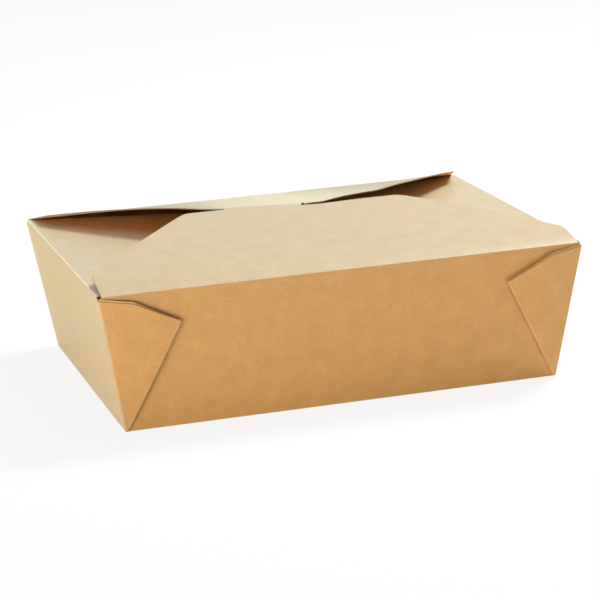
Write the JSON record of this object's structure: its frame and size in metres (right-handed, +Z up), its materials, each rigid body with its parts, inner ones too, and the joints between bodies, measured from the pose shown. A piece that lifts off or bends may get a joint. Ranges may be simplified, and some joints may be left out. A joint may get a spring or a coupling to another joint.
{
  "type": "takeaway box",
  "caption": "Folded kraft board food box with tapered walls, gusseted corners, end flaps and two long flaps that interlock across the top.",
  "frame": {"origin": "centre of the box's underside, on the table", "axes": "+X along the long walls, -Y towards the front wall, +Z up"},
  "size_m": [0.2164, 0.1588, 0.0773],
  "materials": {
    "kraft_walls": "matte uncoated kraft board",
    "kraft_front_flap": "matte uncoated kraft board",
    "kraft_back_flap": "matte uncoated kraft board"
  },
  "bodies": {
    "tray": {"tray": "kraft_walls"},
    "front_flap": {"front_flap": "kraft_front_flap"},
    "back_flap": {"back_flap": "kraft_back_flap"}
  },
  "joints": [
    {"name": "front_flap_crease", "type": "hinge", "parent": "tray", "child": "front_flap", "pos_m": [0, -0.0785, 0.0618], "axis": [1, 0, 0], "range_deg": [0, 180]},
    {"name": "back_flap_crease", "type": "hinge", "parent": "tray", "child": "back_flap", "pos_m": [0, 0.0785, 0.0618], "axis": [-1, 0, 0], "range_deg": [0, 180]}
  ],
  "couplings": [
    {"joint": "back_flap_crease", "follows": "front_flap_crease", "ratio": 1}
  ]
}
